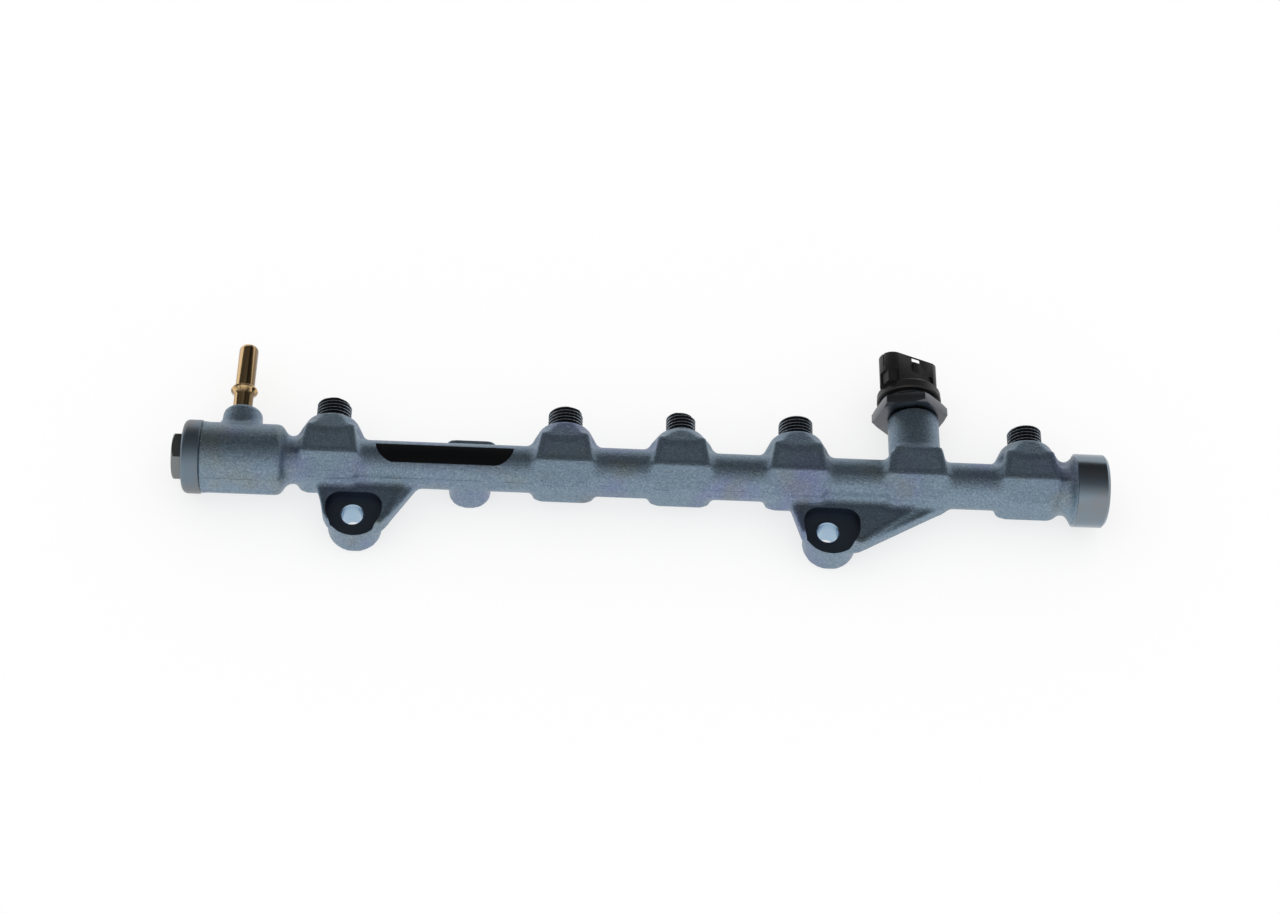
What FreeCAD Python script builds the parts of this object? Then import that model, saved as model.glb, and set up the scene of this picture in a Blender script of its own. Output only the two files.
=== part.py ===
import FreeCAD, Part
import math
import os

# Fuel rail for a four-cylinder direct-injection engine: one forged and machined steel body that carries
# five threaded line connections, a pressure sensor, a pressure relief valve, a return spigot and an end plug.
# Frame: X runs along the rail from the relief valve to the end plug, +Y is the way the line connections
# point and +Z points out of the fixing holes, towards the bolt heads. Z = 0 is the mounting plane and the
# origin is midway between the two fixing holes. Millimetres.

# Rail layout along X
outlet_pitch = 94.0
lug_spacing = 190.0
first_lug_from_outlet = 10.5
spigot_from_outlet = 37.3
sensor_from_outlet = 48.5
valve_end_from_outlet = 57.5
plug_end_from_outlet = 31.1

# Rail tube
axis_height = 15.5
axis_from_bolts = 23.0
tube_radius = 9.4
thick_bay_radius = 9.9
fuel_bore_radius = 4.5
trim_depth = 0.7
trim_depth_large = 0.9

# Valve end of the rail: turned collar and forged housing
collar_radius = 14.85
collar_length = 6.9
collar_edge_round = 1.6
collar_step = 0.4
housing_radius = 14.2
housing_length = 31.0
shoulder_length = 3.0
shoulder_round = 3.0
neck_round = 3.2

# Plug end of the rail: turned flange
flange_radius = 14.85
flange_length = 13.0
flange_slope_length = 2.3
flange_chamfer = 1.3

# Block under each line connection
block_top = 11.8
block_front = 10.1
block_half_length = 12.2
block_nose_half_length = 9.4
block_back_half_length = 9.8
block_chamfer = 7.8
block_front_low = 8.0
block_back = 11.2
block_nose_slope = 2.7
block_round = 1.4

# Line connections
stud_top = 26.6
shoulder_height = 17.3
boss_base_radius = 13.2
outlet_thread_radius = 7.0
outlet_shoulder_radius = 10.3
inlet_thread_radius = 6.0
inlet_shoulder_radius = 9.1
boss_round = 1.2
boss_base_round = 2.0
stud_chamfer = 0.9
outlet_drill_radius = 1.5
throttle_bore_radius = 2.2
throttle_length = 6.0
throttle_orifice_radius = 0.45
seat_cone_radius = 4.6
seat_cone_half_angle = 30.0

# Sensor tower
tower_radius = 10.45
tower_top = 30.9
tower_thread_radius = 6.0
tower_bore_depth = 17.0

# Return spigot and its boss
spigot_boss_radius = 8.0
spigot_boss_shift = 0.7
spigot_boss_top = 22.0
spigot_boss_round = 2.2
spigot_boss_draft = 0.2
spigot_radius = 3.95
spigot_bead_radius = 5.45
spigot_bead_base = 29.9
spigot_bead_slope = 2.2
spigot_bead_rim = 0.9
spigot_bead_crown = 1.3
spigot_lead_in = 1.4
spigot_top = 54.0
spigot_bore_radius = 3.0
spigot_lip = 0.3
spigot_seat_depth = 5.0

# Fixing lugs
lug_hole_radius = 4.3
lug_hole_chamfer = 0.45
spot_face_z = 13.0
lug_boss_radius = 11.2
lug_boss_foot_radius = 10.4
lug_boss_y = -21.5
lug_boss_front_draft = 0.1
spot_face_y = -13.3
spot_face_round = 6.0
web_top_z = 15.5
web_thickness = 6.0
web_draft = 0.6
web_left_root = 15.9
web_left_tip = 10.8
web_root_y = -2.0
web_corner_round = 3.0
web_side_y = -25.5
web_nose_margin = 2.5

# What differs between the two lugs: how far the web runs along the tube, its outer corner, the boss's place
first_lug = {"right_root": 24.7, "right_tip": 14.6, "right_tip_y": -25.5, "boss_shift": 0.8}
second_lug = {"right_root": 49.0, "right_tip": 13.0, "right_tip_y": -30.2, "boss_shift": 1.5}

# Rear foot
foot_from_outlet = 56.2
foot_front_half_width = 8.4
foot_back_half_width = 10.0
foot_waist_y = 4.0
foot_front_y = -9.1
foot_back_y = 15.0
foot_top_z = 12.5
foot_front_round = 7.5
foot_back_round = 2.5

# Milled label flat
flat_depth = 1.0
flat_start_from_outlet = 18.4
flat_length = 55.3
flat_cutter_radius = 9.0
flat_cutter_y = 4.4
flat_end_round = 0.999

# Relief valve
valve_hex_flats = 18.0
valve_hex_height = 5.05
valve_hex_turn = 12.0
valve_hex_chamfer = 1.6
chamfer_slope = 0.7
corner_margin = 0.1
valve_thread_radius = 9.0
valve_thread_length = 13.0
valve_nose_radius = 6.6
valve_nose_length = 18.0
valve_chamber_radius = 8.2
valve_cone_length = 3.4
valve_bore_radius = 4.5
valve_seat_length = 4.0
valve_nose_round = 0.6
valve_relief = 1.0
valve_face_recess = 0.4
valve_seat_orifice = 1.1
valve_seat_countersink = 0.9
valve_shim_thickness = 1.0
plunger_land_length = 5.0
plunger_tip_length = 5.0
plunger_stem_radius = 1.9
plunger_point_radius = 0.6
plunger_pilot_length = 5.0
plunger_root_round = 0.5
cross_hole_radius = 1.2
spring_length = 12.6
spring_wire_radius = 0.55
spring_turns = 4.5
seal_groove_depth = 1.6
seal_groove_place = 1.6
seal_groove_width = 2.0

# End plug
plug_thread_radius = 8.0
plug_length = 13.0
plug_recess = 1.5
plug_cone_length = 3.0
plug_socket_flats = 10.0
plug_socket_depth = 7.0
plug_edge = 0.8

# Pressure sensor
sensor_hex_flats = 27.0
sensor_hex_height = 3.05
sensor_hex_turn = 20.0
sensor_hex_chamfer = 0.7
sensor_neck_radius = 11.2
sensor_port_radius = 1.5
sensor_rim_radius = 9.9
sensor_rim_height = 1.8
cell_radius = 4.0
cell_height = 3.6
cell_wall = 1.0
shell_base = 37.9
shell_collar_radius = 13.2
shell_collar_height = 5.4
shell_cavity_radius = 10.0
shell_floor_top = 47.6
shell_floor_thickness = 2.0
shell_top = 56.8
shell_turn = -25.0
shell_half_width = 10.8
shell_half_depth = 8.6
shell_corner_round = 4.5
shell_socket_wall = 1.7
shell_edge_round = 0.6
shell_overlap = 1.0
latch_offset = 1.4
latch_half_width = 2.6
latch_height = 1.1
latch_length = 4.0
latch_from_top = 1.0
latch_lead = 0.2
latch_root = 0.5
room_clearance = 0.3
cap_seal_depth = 1.0
cap_seal_width = 1.4
support_wall = 1.8
support_height = 4.4
board_half_width = 5.4
board_half_depth = 3.9
board_thickness = 1.0
pin_pitch = 4.5
pin_half_width = 0.75
pin_half_thickness = 0.35
pin_height_in_socket = 7.0

# Fits
running_clearance = 0.04
seat_clearance = 0.12
joint_clearance = 0.05
edge_break = 0.3

lug_xs = [-lug_spacing / 2, lug_spacing / 2]
outlet_xs = [lug_xs[0] - first_lug_from_outlet + outlet_pitch * i for i in range(4)]
inlet_x = (outlet_xs[1] + outlet_xs[2]) / 2
sensor_x = outlet_xs[2] + sensor_from_outlet
spigot_x = outlet_xs[0] - spigot_from_outlet
valve_end_x = outlet_xs[0] - valve_end_from_outlet
plug_end_x = outlet_xs[3] + plug_end_from_outlet
foot_x = outlet_xs[0] + foot_from_outlet
lug_hole_y = -axis_from_bolts

X_AXIS = FreeCAD.Vector(1, 0, 0)
Y_AXIS = FreeCAD.Vector(0, 1, 0)
Z_AXIS = FreeCAD.Vector(0, 0, 1)


def on_axis(x, y=0.0, n=0.0):
    """A point given from the rail's axis: y towards the connections, n upwards."""
    return FreeCAD.Vector(x, axis_from_bolts + y, axis_height + n)


def over_plane(x, y, z):
    """A point given over the mounting plane, with y counted from the rail's axis."""
    return FreeCAD.Vector(x, axis_from_bolts + y, z)


def rounded_wire(corners, place):
    """Closed wire through (a, b, round) corners; place turns (a, b) into a point in space."""
    count = len(corners)
    edges = []
    starts = []
    ends = []
    middles = []
    for i in range(count):
        a, b, radius = corners[i]
        here = FreeCAD.Vector(a, b, 0)
        before = FreeCAD.Vector(corners[i - 1][0], corners[i - 1][1], 0)
        after = FreeCAD.Vector(corners[(i + 1) % count][0], corners[(i + 1) % count][1], 0)
        to_before = (before - here).normalize()
        to_after = (after - here).normalize()
        if radius <= 0:
            starts.append(here)
            ends.append(here)
            middles.append(None)
            continue
        half_angle = to_before.getAngle(to_after) / 2
        reach = radius / math.tan(half_angle)
        bisector = (to_before + to_after).normalize()
        starts.append(here + to_before * reach)
        ends.append(here + to_after * reach)
        middles.append(here + bisector * (radius / math.sin(half_angle) - radius))
    for i in range(count):
        following = (i + 1) % count
        if middles[i] is not None:
            arc = Part.Arc(place(starts[i]), place(middles[i]), place(ends[i]))
            edges.append(arc.toShape())
        if (starts[following] - ends[i]).Length > 1e-6:
            edges.append(Part.LineSegment(place(ends[i]), place(starts[following])).toShape())
    return Part.Wire(edges)


def prism_along_x(corners, x0, x1):
    """Outline in (y, n) about the rail's axis, extruded from x0 to x1."""
    wire = rounded_wire(corners, lambda p: on_axis(x0, p.x, p.y))
    return Part.Face(wire).extrude(FreeCAD.Vector(x1 - x0, 0, 0))


def prism_along_z(corners, z0, z1):
    """Outline in (x, y), extruded from z0 to z1."""
    wire = rounded_wire(corners, lambda p: over_plane(p.x, p.y, z0))
    return Part.Face(wire).extrude(FreeCAD.Vector(0, 0, z1 - z0))


def turned_along_x(corners):
    """Half outline in (x, radius), turned about the rail's axis."""
    wire = rounded_wire(corners, lambda p: on_axis(p.x, 0, p.y))
    return Part.Face(wire).revolve(on_axis(0), X_AXIS, 360)


def turned_along_y(corners, x):
    """Half outline in (radius, y), turned about the connection axis at x."""
    wire = rounded_wire(corners, lambda p: on_axis(x + p.x, p.y, 0))
    return Part.Face(wire).revolve(on_axis(x), Y_AXIS, 360)


def rod_x(radius, x0, x1):
    return Part.makeCylinder(radius, x1 - x0, on_axis(x0), X_AXIS)


def rod_y(radius, y0, y1, x):
    return Part.makeCylinder(radius, y1 - y0, on_axis(x, y0), Y_AXIS)


def hexagon(flats, place, turn=0.0):
    """Hexagon wire of the given width across flats."""
    reach = flats / 2 / math.cos(math.pi / 6)
    angles = [math.radians(turn + 60 * i) for i in range(6)]
    points = [place(reach * math.cos(t), reach * math.sin(t)) for t in angles]
    return Part.makePolygon(points + points[:1])


def octagon(radius):
    """Corners of a small eight-sided section, which stands for a round one on seals and wire."""
    return [(radius * math.cos(math.pi * i / 4), radius * math.sin(math.pi * i / 4)) for i in range(8)]


# Rail body
def rail_tube():
    """Collar, valve housing, tube and flange, turned about the rail's axis, with the trimmed flash band."""
    collar_end = valve_end_x + collar_length
    housing_end = valve_end_x + collar_length + housing_length
    flange_start = plug_end_x - flange_length
    outline = [
        (valve_end_x, 0, 0),
        (valve_end_x, collar_radius, collar_edge_round),
        (collar_end, collar_radius, 0),
        (collar_end + collar_step, housing_radius, 0),
        (housing_end, housing_radius, shoulder_round),
        (housing_end + shoulder_length, tube_radius, neck_round),
        (flange_start - flange_slope_length, tube_radius, neck_round),
        (flange_start, flange_radius, 0),
        (plug_end_x - flange_chamfer, flange_radius, 0),
        (plug_end_x, flange_radius - flange_chamfer, 0),
        (plug_end_x, 0, 0),
    ]
    body = turned_along_x(outline)
    thick_bay = rod_x(thick_bay_radius, outlet_xs[1], inlet_x)
    body = body.fuse(thick_bay)
    reach = 2 * collar_radius
    front_of_housing = Part.makeBox(
        housing_length, reach, reach,
        on_axis(collar_end + collar_step, -(housing_radius - trim_depth_large) - reach, -collar_radius))
    tube_start = housing_end + shoulder_length
    front_of_tube = Part.makeBox(
        flange_start - flange_slope_length - tube_start, reach, reach,
        on_axis(tube_start, -(tube_radius - trim_depth) - reach, -collar_radius))
    return body.cut([front_of_housing, front_of_tube])


def connection_block(x):
    """Faceted block round the tube: side view across the rail meets plan view, edges rounded."""
    side = [
        (block_back, block_top, 0),
        (block_chamfer - block_front, block_top, 0),
        (-block_front, block_top - block_chamfer, 0),
        (-block_front, -block_front_low, 0),
        (-block_front + block_top - block_front_low, -block_top, 0),
        (block_back, -block_top, 0),
    ]
    nose = -block_front + block_nose_slope
    plan = [
        (x - block_nose_half_length, -block_front, 0),
        (x + block_nose_half_length, -block_front, 0),
        (x + block_half_length, nose, 0),
        (x + block_half_length, block_chamfer - block_front, 0),
        (x + block_back_half_length, block_back, 0),
        (x - block_back_half_length, block_back, 0),
        (x - block_half_length, block_chamfer - block_front, 0),
        (x - block_half_length, nose, 0),
    ]
    across = prism_along_x(side, x - 2 * block_half_length, x + 2 * block_half_length)
    along = prism_along_z(plan, axis_height - 2 * block_top, axis_height + 2 * block_top)
    block = across.common(along)
    back = [e for e in block.Edges if e.BoundBox.YMin > axis_from_bolts + block_back - 0.01]
    rounded = [e for e in block.Edges if not any(e.isSame(b) for b in back)]
    return block.makeFillet(block_round, rounded)


def connection_boss(x, thread_radius, ledge_radius):
    """Domed boss that ends in a ledge, with the threaded stud on it."""
    outline = [
        (0, 0, 0),
        (boss_base_radius, 0, 0),
        (boss_base_radius, block_back, boss_base_round),
        (ledge_radius, shoulder_height, boss_round),
        (thread_radius, shoulder_height, 0),
        (thread_radius, stud_top - stud_chamfer, 0),
        (thread_radius - stud_chamfer, stud_top, 0),
        (0, stud_top, 0),
    ]
    boss = turned_along_y(outline, x)
    height = boss_base_radius
    side = 2 * boss_base_radius
    depth = block_back - boss_base_round
    above = Part.makeBox(side, depth, height, on_axis(x - boss_base_radius, 0, block_top))
    below = Part.makeBox(side, depth, height, on_axis(x - boss_base_radius, 0, -block_top - height))
    return boss.cut([above, below])


def connection_bore(x):
    """Cone seat for the line, the throttle's bore and the drilling into the rail."""
    cone_depth = (seat_cone_radius - throttle_bore_radius) / math.tan(math.radians(seat_cone_half_angle))
    outline = [
        (0, 0, 0),
        (outlet_drill_radius, 0, 0),
        (outlet_drill_radius, stud_top - cone_depth - throttle_length, 0),
        (throttle_bore_radius, stud_top - cone_depth - throttle_length, 0),
        (throttle_bore_radius, stud_top - cone_depth, 0),
        (seat_cone_radius, stud_top, 0),
        (0, stud_top, 0),
    ]
    return turned_along_y(outline, x)


def sensor_tower():
    block = connection_block(sensor_x)
    tower = rod_y(tower_radius, 0, tower_top, sensor_x)
    return [block, tower]


def sensor_bore():
    """Threaded bore of the sensor, its cone seat and the drilling into the rail."""
    bottom = tower_top - tower_bore_depth
    outline = [
        (0, 0, 0),
        (outlet_drill_radius, 0, 0),
        (outlet_drill_radius, bottom - tower_thread_radius + outlet_drill_radius, 0),
        (tower_thread_radius, bottom, 0),
        (tower_thread_radius, tower_top, 0),
        (0, tower_top, 0),
    ]
    return turned_along_y(outline, sensor_x)


def spigot_boss():
    outline = [
        (0, 0, 0),
        (spigot_boss_radius + spigot_boss_draft, 0, 0),
        (spigot_boss_radius, spigot_boss_top, spigot_boss_round),
        (0, spigot_boss_top, 0),
    ]
    return turned_along_y(outline, spigot_x + spigot_boss_shift)


def lug_web(x, lug):
    """Drafted web from the tube to the lug's boss, lofted between its top and bottom outlines."""
    wires = []
    for inset, z in [(0.0, web_top_z), (web_draft, web_top_z - web_thickness)]:
        corners = [
            (x - web_left_root + inset, web_root_y, 0),
            (x - web_left_root + inset, -tube_radius, 0),
            (x - web_left_tip + inset, web_side_y, web_corner_round),
            (x, lug_hole_y - lug_boss_radius + web_nose_margin + inset, web_corner_round),
            (x + lug["right_tip"] - inset, lug["right_tip_y"], web_corner_round),
            (x + lug["right_root"] - inset, -tube_radius, 0),
            (x + lug["right_root"] - inset, web_root_y, 0),
        ]
        wires.append(rounded_wire(corners, lambda p, z=z: over_plane(p.x, p.y, z)))
    return Part.makeLoft(wires, True)


def lug_boss(x, lug):
    """Round drafted boss that stands on the mounting plane."""
    centre = over_plane(x + lug["boss_shift"], lug_boss_y, 0)
    foot_shift = FreeCAD.Vector(0, lug_boss_radius - lug_boss_foot_radius - lug_boss_front_draft, 0)
    foot = Part.Wire(Part.makeCircle(lug_boss_foot_radius, centre - foot_shift, Z_AXIS))
    head = Part.Wire(Part.makeCircle(lug_boss_radius, centre + Z_AXIS * spot_face_z, Z_AXIS))
    return Part.makeLoft([foot, head], True)


def lug_cuts(x, lug):
    """Spot face under the bolt head and the bolt hole with its chamfers."""
    middle = x + lug["boss_shift"]
    face = prism_along_z([
        (middle - lug_boss_radius, lug_hole_y - 3 * lug_boss_radius, 0),
        (middle + lug_boss_radius, lug_hole_y - 3 * lug_boss_radius, 0),
        (middle + lug_boss_radius, spot_face_y, spot_face_round),
        (middle - lug_boss_radius, spot_face_y, spot_face_round),
    ], spot_face_z, spot_face_z + 3 * web_thickness)
    centre = over_plane(x, lug_hole_y, 0)
    hole = Part.makeCylinder(lug_hole_radius, spot_face_z, centre)
    wide = lug_hole_radius + lug_hole_chamfer
    chamfer_z = centre + Z_AXIS * (spot_face_z - lug_hole_chamfer)
    top = Part.makeCone(lug_hole_radius, wide, lug_hole_chamfer, chamfer_z)
    bottom = Part.makeCone(wide, lug_hole_radius, lug_hole_chamfer, centre)
    return [face, hole, top, bottom]


def rear_foot():
    """Pad under the tube that stands on the mounting plane."""
    outline = [
        (foot_x - foot_back_half_width, foot_back_y, foot_back_round),
        (foot_x - foot_back_half_width, foot_waist_y, 0),
        (foot_x - foot_front_half_width, foot_waist_y, 0),
        (foot_x - foot_front_half_width, foot_front_y, foot_front_round),
        (foot_x + foot_front_half_width, foot_front_y, foot_front_round),
        (foot_x + foot_front_half_width, foot_waist_y, 0),
        (foot_x + foot_back_half_width, foot_waist_y, 0),
        (foot_x + foot_back_half_width, foot_back_y, foot_back_round),
    ]
    return prism_along_z(outline, 0, foot_top_z)


def label_flat():
    """Flat left by an end mill that ran along the top of the tube."""
    start = outlet_xs[0] + flat_start_from_outlet
    end = start + flat_length
    radius = flat_cutter_radius
    near = flat_cutter_y - radius
    far = flat_cutter_y + radius
    outline = [
        (start, near, radius * flat_end_round),
        (end, near, radius * flat_end_round),
        (end, far, radius * flat_end_round),
        (start, far, radius * flat_end_round),
    ]
    level = axis_height + tube_radius - flat_depth
    return prism_along_z(outline, level, level + 4 * flat_depth)


def valve_pocket():
    """Stepped bore for the relief valve: thread, return chamber and cone seat."""
    thread_end = valve_end_x + valve_thread_length
    cone_start = thread_end + valve_nose_length - valve_cone_length
    outline = [
        (valve_end_x, 0, 0),
        (valve_end_x, valve_thread_radius + joint_clearance, 0),
        (thread_end + valve_relief, valve_thread_radius + joint_clearance, 0),
        (thread_end + valve_relief, valve_chamber_radius, 0),
        (cone_start, valve_chamber_radius, 0),
        (cone_start + valve_chamber_radius - fuel_bore_radius, fuel_bore_radius, 0),
        (cone_start + valve_chamber_radius - fuel_bore_radius, 0, 0),
    ]
    return turned_along_x(outline)


def plug_pocket():
    inner = plug_end_x - plug_recess - plug_length
    outline = [
        (inner, 0, 0),
        (inner, fuel_bore_radius, 0),
        (inner + plug_cone_length, plug_thread_radius + joint_clearance, 0),
        (plug_end_x, plug_thread_radius + joint_clearance, 0),
        (plug_end_x, 0, 0),
    ]
    return turned_along_x(outline)


def rail_body():
    solids = [rail_tube(), spigot_boss(), rear_foot()]
    for x in outlet_xs:
        solids += [connection_block(x), connection_boss(x, outlet_thread_radius, outlet_shoulder_radius)]
    solids.append(connection_block(inlet_x))
    solids.append(connection_boss(inlet_x, inlet_thread_radius, inlet_shoulder_radius))
    solids += sensor_tower()
    for x, lug in zip(lug_xs, [first_lug, second_lug]):
        solids += [lug_web(x, lug), lug_boss(x, lug)]
    body = solids[0].multiFuse(solids[1:])
    cuts = [label_flat(), valve_pocket(), plug_pocket(), sensor_bore()]
    cuts += [connection_bore(x) for x in outlet_xs + [inlet_x]]
    plug_inner_x = plug_end_x - plug_recess - plug_length
    cuts.append(rod_x(fuel_bore_radius, valve_end_x + valve_thread_length, plug_inner_x))
    cuts.append(rod_y(spigot_bore_radius, 0, spigot_boss_top, spigot_x))
    cuts.append(rod_y(spigot_radius, spigot_boss_top - spigot_seat_depth, spigot_boss_top, spigot_x))
    for x, lug in zip(lug_xs, [first_lug, second_lug]):
        cuts += lug_cuts(x, lug)
    return body.cut(cuts).removeSplitter()


# Relief valve
valve_thread_end = valve_end_x + valve_thread_length
valve_cone_start = valve_thread_end + valve_nose_length - valve_cone_length
valve_face_x = valve_cone_start + valve_cone_length - valve_face_recess
valve_seat_x = valve_face_x - valve_seat_length
plunger_land_x = valve_seat_x - plunger_tip_length - plunger_land_length
spring_start_x = plunger_land_x - spring_length
valve_bottom_x = spring_start_x - valve_shim_thickness


def chamfered_hex_x(flats, x0, x1, turn, chamfer):
    """Hexagonal head along X with its outer corners turned off at x0."""
    wire = hexagon(flats, lambda a, b: on_axis(x0, a, b), turn)
    head = Part.Face(wire).extrude(FreeCAD.Vector(x1 - x0, 0, 0))
    corner = flats / 2 / math.cos(math.pi / 6)
    limit = turned_along_x([
        (x0, 0, 0),
        (x0, corner - chamfer, 0),
        (x0 + chamfer * chamfer_slope, corner + corner_margin, 0),
        (x1, corner + corner_margin, 0),
        (x1, 0, 0),
    ])
    return head.common(limit)


def valve_body():
    """Screwed housing of the relief valve, open at its nose, with return holes across it."""
    slope = joint_clearance * math.sqrt(2)
    shoulder_x = valve_cone_start + valve_chamber_radius - valve_nose_radius - slope
    face_radius = valve_chamber_radius - (valve_face_x - valve_cone_start) - slope
    groove = valve_end_x + seal_groove_place
    outline = [
        (valve_end_x - joint_clearance, 0, 0),
        (valve_end_x - joint_clearance, valve_thread_radius, 0),
        (groove, valve_thread_radius, 0),
        (groove, valve_thread_radius - seal_groove_depth, 0),
        (groove + seal_groove_width, valve_thread_radius - seal_groove_depth, 0),
        (groove + seal_groove_width, valve_thread_radius, 0),
        (valve_thread_end, valve_thread_radius, 0),
        (valve_thread_end, valve_nose_radius, valve_nose_round),
        (shoulder_x, valve_nose_radius, 0),
        (valve_face_x, face_radius, 0),
        (valve_face_x, 0, 0),
    ]
    head = chamfered_hex_x(valve_hex_flats, valve_end_x - valve_hex_height, valve_end_x - joint_clearance,
                           valve_hex_turn, valve_hex_chamfer)
    body = turned_along_x(outline).fuse(head)
    bore = rod_x(valve_bore_radius, valve_bottom_x, valve_face_x)
    hole_x = valve_seat_x - plunger_tip_length / 2
    reach = valve_chamber_radius
    across = rod_y(cross_hole_radius, -reach, reach, hole_x)
    upright = Part.makeCylinder(cross_hole_radius, 2 * reach, on_axis(hole_x, 0, -reach), Z_AXIS)
    return body.cut([bore, across, upright]).removeSplitter()


def valve_seat():
    """Hardened disc pressed into the valve's nose, with the metering hole and its conical seat."""
    wide = valve_seat_orifice + valve_seat_countersink
    outline = [
        (valve_seat_x, wide, 0),
        (valve_seat_x, valve_bore_radius, 0),
        (valve_face_x, valve_bore_radius, 0),
        (valve_face_x, valve_seat_orifice, 0),
        (valve_seat_x + valve_seat_countersink, valve_seat_orifice, 0),
    ]
    return turned_along_x(outline)


def valve_plunger():
    """Plunger: conical point on the seat, guide land and the pilot inside the spring."""
    wide = valve_seat_orifice + valve_seat_countersink
    gap = seat_clearance * math.sqrt(2)
    cone_x = valve_seat_x + wide - plunger_stem_radius - gap
    land_radius = valve_bore_radius - running_clearance
    land_end = plunger_land_x + plunger_land_length
    outline = [
        (plunger_land_x - plunger_pilot_length, 0, 0),
        (plunger_land_x - plunger_pilot_length, plunger_stem_radius, 0),
        (plunger_land_x, plunger_stem_radius, 0),
        (plunger_land_x, land_radius, 0),
        (land_end, land_radius, 0),
        (land_end, plunger_stem_radius, plunger_root_round),
        (cone_x, plunger_stem_radius, 0),
        (cone_x + plunger_stem_radius - plunger_point_radius, plunger_point_radius, 0),
        (cone_x + plunger_stem_radius - plunger_point_radius, 0, 0),
    ]
    return turned_along_x(outline)


def valve_spring():
    """Compression spring between the shim and the plunger's land."""
    mean_radius = (plunger_stem_radius + valve_bore_radius) / 2
    rise = spring_length - 2 * spring_wire_radius - 2 * joint_clearance
    helix = Part.makeHelix(rise / spring_turns, rise, mean_radius)
    corners = [FreeCAD.Vector(mean_radius + a, 0, b) for a, b in octagon(spring_wire_radius)]
    wire_section = Part.makePolygon(corners + corners[:1])
    coil = Part.Wire(helix.Edges).makePipeShell([wire_section], True, True)
    coil.rotate(FreeCAD.Vector(0, 0, 0), Y_AXIS, 90)
    coil.translate(on_axis(spring_start_x + spring_wire_radius + joint_clearance))
    return coil


def valve_shim():
    """Washer that sets the spring's preload."""
    disc = rod_x(valve_bore_radius - seat_clearance, valve_bottom_x, spring_start_x)
    return disc.cut(rod_x(plunger_stem_radius, valve_bottom_x, spring_start_x))


def valve_seal():
    """O-ring in the groove under the valve's head."""
    section = (seal_groove_depth + joint_clearance) / 2 - joint_clearance / 2
    middle_x = valve_end_x + seal_groove_place + seal_groove_width / 2
    ring_radius = valve_thread_radius - seal_groove_depth + section + joint_clearance / 2
    return turned_along_x([(middle_x + a, ring_radius + b, 0) for a, b in octagon(section)])


# Return spigot
def return_spigot():
    """Quick-connect tube with its retaining bead, pressed into the boss."""
    rim_low = spigot_bead_base + spigot_bead_slope
    rim_high = rim_low + spigot_bead_rim
    outline = [
        (spigot_bore_radius, spigot_boss_top - spigot_seat_depth, 0),
        (spigot_radius, spigot_boss_top - spigot_seat_depth, 0),
        (spigot_radius, spigot_bead_base, 0),
        (spigot_bead_radius, rim_low, 0),
        (spigot_bead_radius, rim_high, 0),
        (spigot_radius, rim_high + spigot_bead_crown, 0),
        (spigot_radius, spigot_top - spigot_lead_in, 0),
        (spigot_bore_radius + spigot_lip, spigot_top, 0),
        (spigot_bore_radius, spigot_top, 0),
    ]
    return turned_along_y(outline, spigot_x)


# End plug
def end_plug():
    """Screwed plug with a sealing cone and a hexagon socket."""
    inner = plug_end_x - plug_recess - plug_length
    outer = plug_end_x - plug_recess
    outline = [
        (inner + joint_clearance, 0, 0),
        (inner + joint_clearance, fuel_bore_radius - joint_clearance, 0),
        (inner + plug_cone_length + joint_clearance, plug_thread_radius - joint_clearance, 0),
        (outer - plug_edge, plug_thread_radius - joint_clearance, 0),
        (outer, plug_thread_radius - plug_edge, 0),
        (outer, 0, 0),
    ]
    wire = hexagon(plug_socket_flats, lambda a, b: on_axis(outer - plug_socket_depth, a, b))
    socket = Part.Face(wire).extrude(FreeCAD.Vector(plug_socket_depth, 0, 0))
    return turned_along_x(outline).cut(socket)


# Throttles in the line connections
def throttle(x):
    """Pressed insert with the damping orifice."""
    cone_depth = (seat_cone_radius - throttle_bore_radius) / math.tan(math.radians(seat_cone_half_angle))
    top = stud_top - cone_depth
    body = rod_y(throttle_bore_radius, top - throttle_length, top, x)
    return body.cut(rod_y(throttle_orifice_radius, top - throttle_length, top, x))


# Pressure sensor
sensor_hex_base = tower_top + joint_clearance
sensor_hex_top = sensor_hex_base + sensor_hex_height
sensor_port_top = shell_base + sensor_rim_height
board_base = sensor_port_top + support_height
support_radius = shell_half_depth - support_wall
pin_offsets = [-pin_pitch, 0.0, pin_pitch]


def turned_shell(shape):
    """The connector is clocked about the tower's axis."""
    shape.rotate(on_axis(sensor_x), Y_AXIS, -shell_turn)
    return shape


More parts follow.
